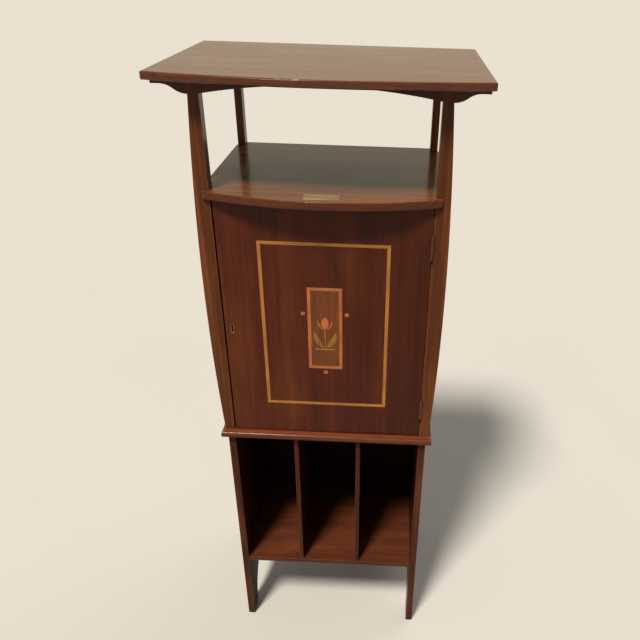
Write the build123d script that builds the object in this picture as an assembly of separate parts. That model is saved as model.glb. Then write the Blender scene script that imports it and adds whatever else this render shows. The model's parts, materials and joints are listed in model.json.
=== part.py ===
from build123d import *
import os

# An upright music cabinet in mahogany: an open rack of three slots on cut-out
# legs, a cupboard with a flat inlaid door, and an open display shelf beneath an
# overhanging bow-fronted top.  The front posts carry a long outward swell.
# Millimetres.  X runs to the right, Y to the back, Z up from the floor.  The
# origin is on the floor, at the middle of the overall plan.

# Case widths and depths
opening_width = 356.0
board_thickness = 14.0
case_depth = 290.0
back_thickness = 8.0

# Levels, from the floor up
leg_clearance = 183.0
bottom_thickness = 11.0
slot_height = 350.0
waist_thickness = 14.0
cupboard_height = 464.0
shelf_thickness = 14.0
display_height = 167.0
top_thickness = 12.0

# Top board
top_width = 502.0
top_bow = 24.0
top_front_overhang = 24.0
top_back_overhang = 22.0
top_edge_round = 2.0

# Front posts, with their outward swell
post_depth = 20.0
post_foot_width = 18.0
post_swell_width = 27.5
post_head_width = 16.5
post_swell_rise = 302.0
back_post_depth = 20.0

# Rails and corbels beneath the top
rail_spring_depth = 21.0
rail_crown_depth = 5.0
corbel_drop = 22.0
corbel_end_depth = 8.5
corbel_end_flat = 13.0
corbel_end_inset = 3.5
side_rail_depth = 20.0

# Display shelf and its plaque
shelf_horn_width = 11.0
shelf_nose = 4.5
shelf_bow = 32.0
shelf_side_lip = 2.0
shelf_top_round = 2.0
shelf_lower_round = 3.0
plaque_width = 56.0
plaque_depth = 22.0
plaque_thickness = 1.2
plaque_proud = 0.4
plaque_setback = 14.0

# Waist board, with a quirk above its nose
waist_side_lip = 11.0
waist_front_lip = 11.0
quirk_width = 5.0
quirk_depth = 1.5
nose_upper_round = 5.0
nose_lower_round = 3.5

# Lower sides, legs and spade feet
leg_depth = 41.0
neck_height = 30.0
arch_height = 116.0
spade_depth = 43.5
spade_height = 17.0
foot_depth = 33.0
foot_bulge = 1.0
foot_bevel = 1.0

# Rack dividers and music shelves
divider_thickness = 8.0
divider_setback = 2.0
bottom_setback = 1.0
housing_depth = 4.0
music_shelf_count = 3
music_shelf_thickness = 8.0
music_shelf_setback = 26.0

# Door and its stops
door_thickness = 18.0
door_hinge_gap = 1.5
door_lock_gap = 3.0
door_end_gap = 2.0
stop_length = 50.0
stop_size = 9.0
stop_clearance = 0.3

# Butt hinges
hinge_length = 44.0
hinge_inset = 66.0
leaf_thickness = 1.2
leaf_width = 15.0
knuckle_radius = 2.6
knuckle_clearance = 0.3
knuckle_count = 5
knuckle_end_gap = 0.2
pin_radius = 1.3
pin_clearance = 0.05
pin_head = 0.6

# Door inlay
inlay_depth = 1.0
border_margin = 65.5
border_band = 6.0
panel_width = 60.5
panel_height = 164.5
panel_band = 5.8
square_size = 6.5
square_gap = 4.6
square_rise = 31.0
bud_width = 13.0
bud_height = 25.0
petal_reach = 10.5
petal_height = 20.0
stem_width = 2.0
stem_length = 38.0
leaf_reach = 17.0
leaf_height = 34.0
leaf_fullness = 3.2
motif_base = 42.0
motif_gap = 0.8
base_bar_width = 34.0
base_bar_height = 2.2

# Lock, escutcheon and strike
lock_rise = 227.0
lock_backset = 12.0
lock_case_width = 28.0
lock_case_height = 36.0
lock_case_depth = 9.0
bolt_thickness = 4.6
bolt_height = 12.0
bolt_length = 20.0
bolt_clearance = 0.1
bolt_back_wall = 1.0
bolt_travel = 6.0
keyhole_radius = 2.7
keyhole_height = 15.8
keyhole_neck_width = 1.9
keyhole_foot_width = 3.6
keyhole_case_depth = 2.0
escutcheon_rim = 1.1
escutcheon_depth = 3.0
escutcheon_proud = 0.2
strike_thickness = 1.2
strike_height = 32.0
strike_margin = 2.0
strike_clearance = 0.5
mortise_depth = 7.5

# Levels and faces that follow from the sizes above
z_bottom = leg_clearance + bottom_thickness
z_waist_under = z_bottom + slot_height
z_waist = z_waist_under + waist_thickness
z_shelf_under = z_waist + cupboard_height
z_shelf = z_shelf_under + shelf_thickness
z_top_under = z_shelf + display_height
z_top = z_top_under + top_thickness
x_in = opening_width / 2
x_out = x_in + board_thickness
overall_depth = top_bow + top_front_overhang + case_depth + top_back_overhang
y_front = top_bow + top_front_overhang - overall_depth / 2
y_back = y_front + case_depth
y_panel = y_back - back_thickness
y_post_back = y_front + post_depth
y_back_post = y_back - back_post_depth
y_door_back = y_front + door_thickness
x_post_head = x_in + post_head_width

parts = {}


def block(x0, x1, y0, y1, z0, z1):
    """A rectangular block between two corners."""
    corner = (Align.MIN, Align.MIN, Align.MIN)
    return Pos(x0, y0, z0) * Box(x1 - x0, y1 - y0, z1 - z0, align=corner)


def front_profile(face, y0, y1):
    """Extrude a face drawn in X and Z from y0 back to y1."""
    return extrude(Plane.XZ.offset(-y1) * face, y1 - y0)


def side_profile(face, x0, x1):
    """Extrude a face drawn in Y and Z from x0 out to x1."""
    return extrude(Plane.YZ.offset(x0) * face, x1 - x0)


def plan_profile(face, z0, z1):
    """Extrude a face drawn in X and Y from z0 up to z1."""
    return extrude(Plane.XY.offset(z0) * face, z1 - z0)


def mirrored(shape):
    """The same piece on the other side of the cabinet."""
    return mirror(shape, about=Plane.YZ)


def add_pair(name, right_piece):
    """Keep a piece and its mirror image."""
    parts[name + "_right"] = right_piece
    parts[name + "_left"] = mirrored(right_piece)


def side_edges(solid, z, y_last):
    """Edges at one level, all but those on the back face."""
    level = solid.edges().filter_by_position(Axis.Z, z - 0.01, z + 0.01)
    return [e for e in level if (e @ 0.5).Y < y_last - 0.01]


# Top board: straight sides, straight back, bowed front
half_top = top_width / 2
y_top_corner = y_front - top_front_overhang
y_top_back = y_back + top_back_overhang
top_face = make_face(
    [
        ThreePointArc((-half_top, y_top_corner), (0, y_top_corner - top_bow), (half_top, y_top_corner)),
        Line((half_top, y_top_corner), (half_top, y_top_back)),
        Line((half_top, y_top_back), (-half_top, y_top_back)),
        Line((-half_top, y_top_back), (-half_top, y_top_corner)),
    ]
)
top_board = plan_profile(top_face, z_top_under, z_top)
top_edges = side_edges(top_board, z_top, y_top_back + 1) + side_edges(top_board, z_top_under, y_top_back)
parts["top_board"] = fillet(top_edges, top_edge_round)


def ogee(x0, z0, x1, z1):
    """An S-shaped edge, level at both ends."""
    mid = ((x0 + x1) / 2, (z0 + z1) / 2)
    first = TangentArc((x0, z0), mid, tangent=(1, 0))
    second = TangentArc((x1, z1), mid, tangent=(-1, 0))
    return [first, second]


# Corbels carry the overhanging ends of the top
z_spring = z_top_under - corbel_drop
z_corbel_end = z_top_under - corbel_end_depth
x_corbel_end = half_top - corbel_end_inset
x_ogee_end = x_corbel_end - corbel_end_flat
corbel_face = make_face(
    ogee(x_post_head, z_spring, x_ogee_end, z_corbel_end)
    + [
        Line((x_ogee_end, z_corbel_end), (x_corbel_end, z_corbel_end)),
        Line((x_corbel_end, z_corbel_end), (x_corbel_end, z_top_under)),
        Line((x_corbel_end, z_top_under), (x_post_head, z_top_under)),
        Line((x_post_head, z_top_under), (x_post_head, z_spring)),
    ]
)
add_pair("front_corbel", front_profile(corbel_face, y_front, y_post_back))

# Arched rail between the front posts
z_rail_spring = z_top_under - rail_spring_depth
z_rail_crown = z_top_under - rail_crown_depth
rail_face = make_face(
    [
        ThreePointArc((-x_in, z_rail_spring), (0, z_rail_crown), (x_in, z_rail_spring)),
        Line((x_in, z_rail_spring), (x_in, z_top_under)),
        Line((x_in, z_top_under), (-x_in, z_top_under)),
        Line((-x_in, z_top_under), (-x_in, z_rail_spring)),
    ]
)
parts["front_top_rail"] = front_profile(rail_face, y_front, y_post_back)

# The back bearer has the same ends and arch in one length, over the back posts
bearer_left = [mirror(e, about=Plane.YZ) for e in ogee(x_post_head, z_spring, x_ogee_end, z_corbel_end)]
bearer_face = make_face(
    ogee(x_post_head, z_spring, x_ogee_end, z_corbel_end)
    + bearer_left
    + [
        Line((x_ogee_end, z_corbel_end), (x_corbel_end, z_corbel_end)),
        Line((x_corbel_end, z_corbel_end), (x_corbel_end, z_top_under)),
        Line((x_corbel_end, z_top_under), (-x_corbel_end, z_top_under)),
        Line((-x_corbel_end, z_top_under), (-x_corbel_end, z_corbel_end)),
        Line((-x_corbel_end, z_corbel_end), (-x_ogee_end, z_corbel_end)),
        Line((-x_post_head, z_spring), (-x_in, z_spring)),
        ThreePointArc((-x_in, z_spring), (0, z_rail_crown), (x_in, z_spring)),
        Line((x_in, z_spring), (x_post_head, z_spring)),
    ]
)
parts["back_top_bearer"] = front_profile(bearer_face, y_back_post, y_back)
z_side_rail = z_top_under - side_rail_depth
side_rail = block(x_in, x_out, y_post_back, y_back_post, z_side_rail, z_top_under)
add_pair("top_side_rail", side_rail)

# Front posts: a straight inner edge and an outer edge that swells and draws in
z_swell = z_waist + post_swell_rise
x_swell = x_in + post_swell_width
x_post_foot = x_in + post_foot_width
post_face = make_face(
    [
        Line((x_in, z_waist), (x_post_foot, z_waist)),
        TangentArc((x_swell, z_swell), (x_post_foot, z_waist), tangent=(0, -1)),
        TangentArc((x_swell, z_swell), (x_post_head, z_spring), tangent=(0, 1)),
        Line((x_post_head, z_spring), (x_post_head, z_top_under)),
        Line((x_post_head, z_top_under), (x_in, z_top_under)),
        Line((x_in, z_top_under), (x_in, z_waist)),
    ]
)
post = front_profile(post_face, y_front, y_post_back)
back_post = block(x_in, x_out, y_back_post, y_back, z_shelf_under, z_spring)
add_pair("back_post", back_post)

# Display shelf: notched round all four posts, with horns across the front ones
x_horn = x_in + shelf_horn_width
x_shelf_side = x_out + shelf_side_lip
y_horn = y_front - shelf_nose
shelf_right = [
    (x_horn, y_horn),
    (x_horn, y_front),
    (x_in, y_front),
    (x_in, y_post_back),
    (x_shelf_side, y_post_back),
    (x_shelf_side, y_back_post),
    (x_in, y_back_post),
    (x_in, y_back),
]
shelf_left = [(-x, y) for x, y in reversed(shelf_right)]
shelf_face = make_face(
    Polyline(*(shelf_right + shelf_left)).edges()
    + [ThreePointArc((-x_horn, y_horn), (0, y_horn - shelf_bow), (x_horn, y_horn))]
)
shelf = plan_profile(shelf_face, z_shelf_under, z_shelf)
bow_edges = shelf.edges().filter_by(GeomType.CIRCLE)
upper_bow = bow_edges.sort_by(Axis.Z)[-1]
shelf = fillet(upper_bow, shelf_top_round)
lower_bow = shelf.edges().filter_by_position(Axis.Z, z_shelf_under - 0.01, z_shelf_under + 0.01)
shelf = fillet(lower_bow.filter_by(GeomType.CIRCLE), shelf_lower_round)

# A thin bare plaque is let into the shelf behind its front edge
y_plaque = y_horn - shelf_bow + plaque_setback
y_plaque_back = y_plaque + plaque_depth
z_plaque_top = z_shelf + plaque_proud
z_plaque = z_plaque_top - plaque_thickness
half_plaque = plaque_width / 2
plaque = block(-half_plaque, half_plaque, y_plaque, y_plaque_back, z_plaque, z_plaque_top)
parts["plaque"] = plaque
parts["display_shelf"] = shelf - plaque

# Cupboard: sides behind the posts, a thin back, fixed shelves in housings
cupboard_side = block(x_in, x_out, y_post_back, y_back, z_waist, z_shelf_under)
pitch = (cupboard_height - music_shelf_count * music_shelf_thickness) / (music_shelf_count + 1)
y_music = y_front + music_shelf_setback
x_housed = x_in + housing_depth
for i in range(music_shelf_count):
    z_music = z_waist + pitch + i * (pitch + music_shelf_thickness)
    z_music_top = z_music + music_shelf_thickness
    music_shelf = block(-x_housed, x_housed, y_music, y_panel, z_music, z_music_top)
    groove = block(x_in, x_housed, y_music, y_panel, z_music, z_music_top)
    cupboard_side -= groove
    parts["music_shelf_" + str(i + 1)] = music_shelf
add_pair("cupboard_side", cupboard_side)
parts["cupboard_back"] = block(-x_in, x_in, y_panel, y_back, z_waist, z_shelf_under)

# Waist board: one full board with a quirk and a rounded nose on three edges
x_waist = x_out + waist_side_lip
y_waist = y_front - waist_front_lip
z_quirk = z_waist - quirk_depth
waist_lower = block(-x_waist, x_waist, y_waist, y_back, z_waist_under, z_quirk)
waist_lower = fillet(side_edges(waist_lower, z_quirk, y_back), nose_upper_round)
waist_lower = fillet(side_edges(waist_lower, z_waist_under, y_back), nose_lower_round)
x_cap = x_waist - quirk_width
waist_cap = block(-x_cap, x_cap, y_waist + quirk_width, y_back, z_quirk, z_waist)
waist_board = waist_lower + waist_cap

# Lower sides run down into legs, cut out between in an arch, with spade feet
y_mid = (y_front + y_back) / 2


def leg_edge(y_face, direction):
    """Inner edge of one leg, from the arch down to the floor."""
    neck = (y_face + direction * leg_depth, neck_height)
    spade = (y_face + direction * spade_depth, spade_height)
    foot = (y_face + direction * foot_depth, 0)
    bulge_depth = (spade_depth + foot_depth) / 2 + foot_bulge
    bulge = (y_face + direction * bulge_depth, spade_height / 2)
    return [Line(neck, spade), ThreePointArc(spade, bulge, foot)]


side_face = make_face(
    leg_edge(y_front, 1)
    + leg_edge(y_back, -1)
    + [
        ThreePointArc(
            (y_front + leg_depth, neck_height),
            (y_mid, arch_height),
            (y_back - leg_depth, neck_height),
        ),
        Line((y_front + foot_depth, 0), (y_front, 0)),
        Line((y_front, 0), (y_front, z_waist_under)),
        Line((y_front, z_waist_under), (y_back, z_waist_under)),
        Line((y_back, z_waist_under), (y_back, 0)),
        Line((y_back, 0), (y_back - foot_depth, 0)),
    ]
)
lower_side = side_profile(side_face, x_in, x_out)
sole_edges = lower_side.edges().filter_by_position(Axis.Z, -0.01, 0.01)
lower_side = chamfer(sole_edges, foot_bevel)
add_pair("lower_side", lower_side)

# Bottom board, dividers and back of the open rack
bottom_board = block(-x_in, x_in, y_front + bottom_setback, y_panel, leg_clearance, z_bottom)
slot_width = (opening_width - 2 * divider_thickness) / 3
x_divider = slot_width / 2
z_divider_foot = z_bottom - housing_depth
z_divider_head = z_waist_under + housing_depth
y_divider = y_front + divider_setback
x_divider_far = x_divider + divider_thickness
divider = block(x_divider, x_divider_far, y_divider, y_panel, z_divider_foot, z_divider_head)
for piece in (divider, mirrored(divider)):
    bottom_board -= piece
    waist_board -= piece
parts["bottom_board"] = bottom_board
parts["waist_board"] = waist_board
add_pair("divider", divider)
parts["rack_back"] = block(-x_in, x_in, y_panel, y_back, leg_clearance, z_waist_under)

# Door stops behind the door, under the shelf and on the waist board
y_stop = y_door_back + stop_clearance
for place, z_stop in (("lower", z_waist), ("upper", z_shelf_under - stop_size)):
    stop = block(-x_in, -x_in + stop_length, y_stop, y_stop + stop_size, z_stop, z_stop + stop_size)
    parts["door_stop_" + place] = stop

# Door: one flat leaf between the posts
x_door_lock = -x_in + door_lock_gap
x_door_hinge = x_in - door_hinge_gap
z_door = z_waist + door_end_gap
z_door_top = z_shelf_under - door_end_gap
x_door_mid = (x_door_lock + x_door_hinge) / 2
z_door_mid = (z_door + z_door_top) / 2
door = block(x_door_lock, x_door_hinge, y_front, y_door_back, z_door, z_door_top)

# Butt hinges: interleaved knuckles on a pin just in front of the faces
x_axis = x_in - door_hinge_gap / 2
y_axis = y_front - knuckle_radius - knuckle_clearance
knuckle_length = hinge_length / knuckle_count


def hinge_leaf(z_mid, x_plate, first):
    """A let-in plate with every second knuckle, starting at the given one."""
    z0 = z_mid - hinge_length / 2
    leaf = block(x_plate, x_plate + leaf_thickness, y_front, y_front + leaf_width, z0, z0 + hinge_length)
    for n in range(first, knuckle_count, 2):
        z_low = z0 + n * knuckle_length + knuckle_end_gap / 2
        z_high = z0 + (n + 1) * knuckle_length - knuckle_end_gap / 2
        height = z_high - z_low
        barrel = Pos(x_axis, y_axis, z_low + height / 2) * Cylinder(knuckle_radius, height)
        tab = block(x_plate, x_plate + leaf_thickness, y_axis, y_front, z_low, z_high)
        leaf += barrel + tab
    bore = Pos(x_axis, y_axis, z_mid) * Cylinder(pin_radius + pin_clearance, hinge_length + 2)
    return leaf - bore


def plate_recess(z_mid, x_plate):
    """The shallow recess that one plate is let into."""
    z0 = z_mid - hinge_length / 2
    return block(x_plate, x_plate + leaf_thickness, y_front, y_front + leaf_width, z0, z0 + hinge_length)


post_right = post
x_door_plate = x_door_hinge - leaf_thickness
hinge_levels = {"lower": z_door + hinge_inset, "upper": z_door_top - hinge_inset}
for place, z_hinge in hinge_levels.items():
    parts["hinge_" + place + "_frame_leaf"] = hinge_leaf(z_hinge, x_in, 0)
    parts["hinge_" + place + "_door_leaf"] = hinge_leaf(z_hinge, x_door_plate, 1)
    pin_length = hinge_length + 2 * pin_head
    parts["hinge_" + place + "_pin"] = Pos(x_axis, y_axis, z_hinge) * Cylinder(pin_radius, pin_length)
    post_right -= plate_recess(z_hinge, x_in)
    door -= plate_recess(z_hinge, x_door_plate)
parts["front_post_right"] = post_right


# Door inlay: bands and pieces let into the face, flush with it
def inlay(sketch):
    """A thin flush piece from an outline in X and Z on the door face."""
    return front_profile(sketch, y_front, y_front + inlay_depth)


def corners(width, height):
    """Corners of a rectangle about the middle of the door."""
    half_width = width / 2
    low = z_door_mid - height / 2
    high = z_door_mid + height / 2
    left = x_door_mid - half_width
    right = x_door_mid + half_width
    return [(left, low), (right, low), (right, high), (left, high)]


def band(width, height, strip_width):
    """Four strips in a rectangle, mitred at the corners."""
    outer = corners(width, height)
    inner = corners(width - 2 * strip_width, height - 2 * strip_width)
    strips = []
    for n in range(4):
        after = (n + 1) % 4
        edge = Polyline(outer[n], outer[after], inner[after], inner[n], close=True)
        strips.append(inlay(make_face(edge)))
    return Compound(strips)


door_width = x_door_hinge - x_door_lock
door_height = z_door_top - z_door
border_size = (door_width - 2 * border_margin, door_height - 2 * border_margin)
border = band(*border_size, border_band)
frame = band(panel_width, panel_height, panel_band)
field_size = (panel_width - 2 * panel_band, panel_height - 2 * panel_band)
field = inlay(Pos(x_door_mid, z_door_mid) * Rectangle(*field_size))
side_step = panel_width / 2 + square_gap + square_size / 2
z_square = z_door_mid + square_rise
z_low_square = z_door_mid - panel_height / 2 - square_gap - square_size / 2
square_spots = {
    "left": (x_door_mid - side_step, z_square),
    "right": (x_door_mid + side_step, z_square),
    "lower": (x_door_mid, z_low_square),
}
for place, spot in square_spots.items():
    dot = inlay(Pos(*spot) * Rectangle(square_size, square_size))
    parts["inlay_square_" + place] = dot
    door -= dot
for piece in border.solids() + frame.solids() + field.solids():
    door -= piece
parts["inlay_border"] = border
parts["inlay_frame"] = frame


def lens(start, end, bow_one, bow_two):
    """A pointed shape between two arcs, each with its own mid point."""
    return make_face([ThreePointArc(start, bow_one, end), ThreePointArc(start, bow_two, end)])


# A bud on a stem between two leaves, over a short bar, each clear of the next
z_bar = z_door_mid - motif_base
z_stem = z_bar + base_bar_height + motif_gap
z_bud = z_stem + stem_length + motif_gap
bud_mid = z_bud + bud_height / 2
half_bud = bud_width / 2
x_root = stem_width / 2 + motif_gap
bud = lens((0, z_bud), (0, z_bud + bud_height), (half_bud, bud_mid), (-half_bud, bud_mid))
petal_root = (x_root, z_bud - motif_gap / 2)
petal_tip = (x_root + petal_reach, z_bud + petal_height)
petal_out = (x_root + petal_reach * 0.8, z_bud + petal_height * 0.3)
petal_in = (x_root + petal_reach * 0.68, z_bud + petal_height * 0.42)
petal = lens(petal_root, petal_tip, petal_out, petal_in)
leaf_root = (x_root, z_stem)
leaf_tip = (x_root + leaf_reach, z_stem + leaf_height)
leaf_mid = (x_root + leaf_reach * 0.52, z_stem + leaf_height * 0.32)
leaf_low = (leaf_mid[0] + leaf_fullness, leaf_mid[1] - leaf_fullness)
leaf_high = (leaf_mid[0] - leaf_fullness, leaf_mid[1] + leaf_fullness)
leaf = lens(leaf_root, leaf_tip, leaf_low, leaf_high)
stem = Pos(0, z_stem + stem_length / 2) * Rectangle(stem_width, stem_length)
bar = Pos(0, z_bar + base_bar_height / 2) * Rectangle(base_bar_width, base_bar_height)
motif = {
    "inlay_bud": bud,
    "inlay_stem": stem,
    "inlay_bar": bar,
    "inlay_petal_right": petal,
    "inlay_petal_left": mirror(petal, about=Plane.YZ),
    "inlay_leaf_right": leaf,
    "inlay_leaf_left": mirror(leaf, about=Plane.YZ),
}
for name, sketch in motif.items():
    piece = inlay(Pos(x_door_mid, 0) * sketch)
    parts[name] = piece
    field -= piece
parts["inlay_field"] = field

# Lock let into the back of the door, its bolt working into the left post
z_lock = z_waist + lock_rise
x_key = x_door_lock + lock_backset
x_case = x_door_lock + lock_case_width
y_case = y_door_back - lock_case_depth
z_case = z_lock - lock_case_height / 2
z_case_top = z_case + lock_case_height
lock_case = block(x_door_lock, x_case, y_case, y_door_back, z_case, z_case_top)
door -= lock_case
y_bolt_back = y_door_back - bolt_back_wall
y_bolt = y_bolt_back - bolt_thickness
z_bolt = z_lock - bolt_height / 2
bolt = block(x_door_lock, x_door_lock + bolt_length, y_bolt, y_bolt_back, z_bolt, z_bolt + bolt_height)
lock_case -= block(
    x_door_lock - bolt_clearance,
    x_door_lock + bolt_length + bolt_clearance,
    y_bolt - bolt_clearance,
    y_bolt_back + bolt_clearance,
    z_bolt - bolt_clearance,
    z_bolt + bolt_height + bolt_clearance,
)
parts["lock_bolt"] = bolt


def keyhole():
    """A round eye over a slot that widens towards its foot."""
    z_eye = z_lock + keyhole_height / 2 - keyhole_radius
    z_foot = z_lock - keyhole_height / 2
    half_neck = keyhole_neck_width / 2
    half_foot = keyhole_foot_width / 2
    slot = Polyline(
        (x_key - half_neck, z_eye),
        (x_key + half_neck, z_eye),
        (x_key + half_foot, z_foot),
        (x_key - half_foot, z_foot),
        close=True,
    )
    return Pos(x_key, z_eye) * Circle(keyhole_radius) + make_face(slot)


# A thin brass rim lines the keyhole and stands just proud of the door
hole = keyhole()
rim = offset(hole, amount=escutcheon_rim)
y_rim = y_front - escutcheon_proud
y_rim_back = y_front + escutcheon_depth
door -= front_profile(rim, y_front, y_rim_back)
door -= front_profile(hole, y_rim_back, y_case)
lock_case -= front_profile(hole, y_case, y_case + keyhole_case_depth)
escutcheon = front_profile(rim, y_rim, y_rim_back) - front_profile(hole, y_rim, y_rim_back)
parts["lock_case"] = lock_case
parts["escutcheon"] = escutcheon
parts["door_panel"] = door

# Strike plate and mortise in the left post
post_left = mirrored(post)
y_hole = y_bolt - strike_clearance
y_hole_back = y_bolt_back + strike_clearance
z_hole = z_bolt - strike_clearance
z_hole_top = z_bolt + bolt_height + strike_clearance
x_strike = -x_in - strike_thickness
y_strike = y_hole - strike_margin
z_strike = z_lock - strike_height / 2
strike = block(x_strike, -x_in, y_strike, y_post_back, z_strike, z_strike + strike_height)
post_left -= strike
mortise = block(-x_in - mortise_depth, -x_in, y_hole, y_hole_back, z_hole, z_hole_top)
parts["strike_plate"] = strike - mortise
parts["front_post_left"] = post_left - mortise

os.makedirs("parts", exist_ok=True)
for name, shape in parts.items():
    export_step(shape, "parts/" + name + ".step")
print(len(parts), "pieces written")
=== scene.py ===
"""Finishes a music cabinet: polished mahogany, an inlaid door, brass and small fixings."""

import json
import math

import bmesh
import bpy
from mathutils import Matrix, Vector
from mathutils.bvhtree import BVHTree


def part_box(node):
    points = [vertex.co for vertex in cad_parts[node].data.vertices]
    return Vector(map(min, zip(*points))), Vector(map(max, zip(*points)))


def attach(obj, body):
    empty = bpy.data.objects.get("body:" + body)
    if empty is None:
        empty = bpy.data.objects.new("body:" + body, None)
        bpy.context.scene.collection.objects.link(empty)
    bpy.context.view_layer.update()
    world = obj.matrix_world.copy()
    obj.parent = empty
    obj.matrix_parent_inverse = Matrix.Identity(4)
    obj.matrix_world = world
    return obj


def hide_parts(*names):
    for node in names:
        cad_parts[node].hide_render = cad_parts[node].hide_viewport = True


bl_info = {
    "name": "Music Cabinet",
    "version": (1, 0, 0),
    "blender": (4, 5, 0),
    "location": "View3D > Sidebar > Cabinet",
    "description": "Finishes an inlaid mahogany music cabinet and sets up its stage",
    "category": "Object",
}

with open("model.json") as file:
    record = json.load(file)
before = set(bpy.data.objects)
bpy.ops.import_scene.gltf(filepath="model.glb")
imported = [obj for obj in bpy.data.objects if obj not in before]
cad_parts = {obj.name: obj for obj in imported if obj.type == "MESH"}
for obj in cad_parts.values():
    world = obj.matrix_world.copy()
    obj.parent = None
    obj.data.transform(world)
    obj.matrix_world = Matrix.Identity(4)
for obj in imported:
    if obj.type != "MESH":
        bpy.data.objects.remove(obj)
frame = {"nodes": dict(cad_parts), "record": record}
NODES = frame["nodes"]
BODIES = frame["record"]["behaviour"]["bodies"]
BODY_OF = {node: body for body, nodes in BODIES.items() for node in nodes}
SLOT_OF = {part["node"]: part["material_slot"] for part in frame["record"]["subparts"]}
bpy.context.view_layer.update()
MM = 0.001
BLACK = (0.0, 0.0, 0.0)

# The photograph's width and height in pixels, and the width of the camera's sensor in millimetres
PHOTO_PIXELS = 640
SENSOR = 36

# A Mix node's sockets: its two numbers, its two colours, and its colour result. Socket 0 is its factor.
NUMBER_A, NUMBER_B, COLOUR_A, COLOUR_B, COLOUR_OUT = 2, 3, 6, 7, 2

# Folds sharper than this are arrises, and faces that meet at less than that are shaded as one
ARRIS_ANGLE = math.radians(30)
SMOOTH_ANGLE = math.radians(38)
SCREW_SMOOTH_ANGLE = math.radians(35)
PIN_SMOOTH_ANGLE = math.radians(50)
# CAD vertices nearer than this are one, and faces that turn by less are one face
WELD = 1e-5
FLAT_ANGLE = math.radians(0.1)
# Points nearer than this to another piece lie on a glued joint
GLUED = 6e-5
# Slack round a node's box when a point is looked up in it, and below a disc's face when its rim is picked
BOX_SLACK = 1e-4
RIM_SLACK = 1e-7
# In radians: how the first screw's slot is turned, and how far each next one is turned from the last
FIRST_SLOT_TURN, SLOT_STEP = 0.9, 2.4


def linear(code):
    """An sRGB hex colour as the linear colour that Blender works in."""
    channels = [int(code[i : i + 2], 16) / 255 for i in (1, 3, 5)]
    return [c / 12.92 if c <= 0.04045 else ((c + 0.055) / 1.055) ** 2.4 for c in channels]


def opaque(colour):
    """The same colour with full alpha, as a shader socket takes it."""
    return (*colour[:3], 1.0)


def colour_property(name, description, code):
    """A colour that shows as a swatch, with its default as a hex code."""
    return bpy.props.FloatVectorProperty(
        name=name, description=description, subtype="COLOR", size=3, min=0, max=1, default=linear(code)
    )


def length_property(name, description, millimetres):
    """A length with Blender's unit."""
    return bpy.props.FloatProperty(
        name=name, description=description, unit="LENGTH", min=0, default=millimetres * MM, precision=5
    )


class CabinetFinish(bpy.types.PropertyGroup):
    """Colours and gloss of the woods and metals"""

    # the top's upper faces take this colour, drawn lighter than its edges and undersides
    top: colour_property("Top", "Mahogany of the top board, paled by daylight", "#835036")
    edge: colour_property("Board edges", "Edges of the top and the display shelf", "#5E2717")
    shelf: colour_property("Shelf", "Mahogany of the display shelf", "#804A26")
    post: colour_property("Posts", "Mahogany of the posts", "#874B26")
    # painted shade: this darkened colour stands in for the shade under the top board, on the rails and
    # corbels and on the undersides of the top and shelf
    rail: colour_property("Rails", "Darker mahogany of the rails and corbels", "#40241A")
    waist: colour_property("Waist", "Mahogany of the waist board", "#7C4127")
    door: colour_property("Door", "Mahogany veneer of the door", "#612A16")
    rack: colour_property("Rack", "Mahogany of the rack and the lower sides", "#633320")
    # painted shade: this near-black colour stands in for the shade inside the rack, on its back and the inner
    # faces of its sides and dividers; the cupboard's back, shelves, stops and inner side faces take it too
    lining_and_shade: colour_property("Lining", "Stained boards inside and behind the case", "#2A130C")
    # this lighter colour on the rubbed arrises is real wear and also a painted highlight along them
    worn: colour_property("Worn edge", "Bare wood where the polish has worn through", "#A8683C")
    satinwood: colour_property("Satinwood", "Border strip of the door", "#D4863A")
    orange: colour_property("Orange strip", "Strips and squares round the centre panel", "#DE7C40")
    field: colour_property("Centre veneer", "Brown veneer of the centre panel", "#733812")
    stained: colour_property("Stained motif", "Green-gold wood of the stem and leaves", "#A0742A")
    brass: colour_property("Brass", "Brass where it is rubbed bright", "#B5875A")
    browned: colour_property("Browned brass", "Brass of the hinges, browned by age", "#6E4E42")
    tarnish: colour_property("Tarnish", "Brown film on old brass", "#4C301E")
    lacquered: colour_property("Plaque", "Lacquered brass of the bare plaque", "#F2D9A4")
    steel: colour_property("Steel", "Drawn steel of pins, bolt and screws", "#9A958C")
    gloss: bpy.props.FloatProperty(
        name="Polish roughness",
        description="Roughness of the shellac",
        subtype="FACTOR",
        min=0,
        max=1,
        default=0.2,
    )
    # how much of that lighter colour, wear and painted highlight both, lies on the arrises
    wear: bpy.props.FloatProperty(
        name="Wear", description="How far the arrises are rubbed", subtype="FACTOR", min=0, max=1, default=0.7
    )


class CabinetSizes(bpy.types.PropertyGroup):
    """Sizes of the softened edges and small fixings"""

    arris: length_property("Arris", "Rounding of a worn edge of the case", 0.7)
    thin_arris: length_property("Thin arris", "Rounding of the rack's thin edges", 0.5)
    metal_arris: length_property("Metal edge", "Rounding of filed brass edges", 0.18)
    hinge_screw: length_property("Hinge screw", "Radius of a hinge screw's head", 1.9)
    back_screw: length_property("Back screw", "Radius of a back board screw's head", 2.9)
    head_rise: length_property(
        "Head rise", "How far a fitting's screw head stands proud, so that its slot shows", 0.35
    )
    back_head_rise: length_property("Back head rise", "How far a back board's screw head stands proud", 0.6)
    plaque_pin: length_property("Plaque pin", "Radius of a plaque pin's head", 1.0)
    border_strip: length_property("Border strip", "Width of the border strip", 6.0)
    centre_strip: length_property("Centre strip", "Width of the strip round the centre panel", 5.8)


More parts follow.
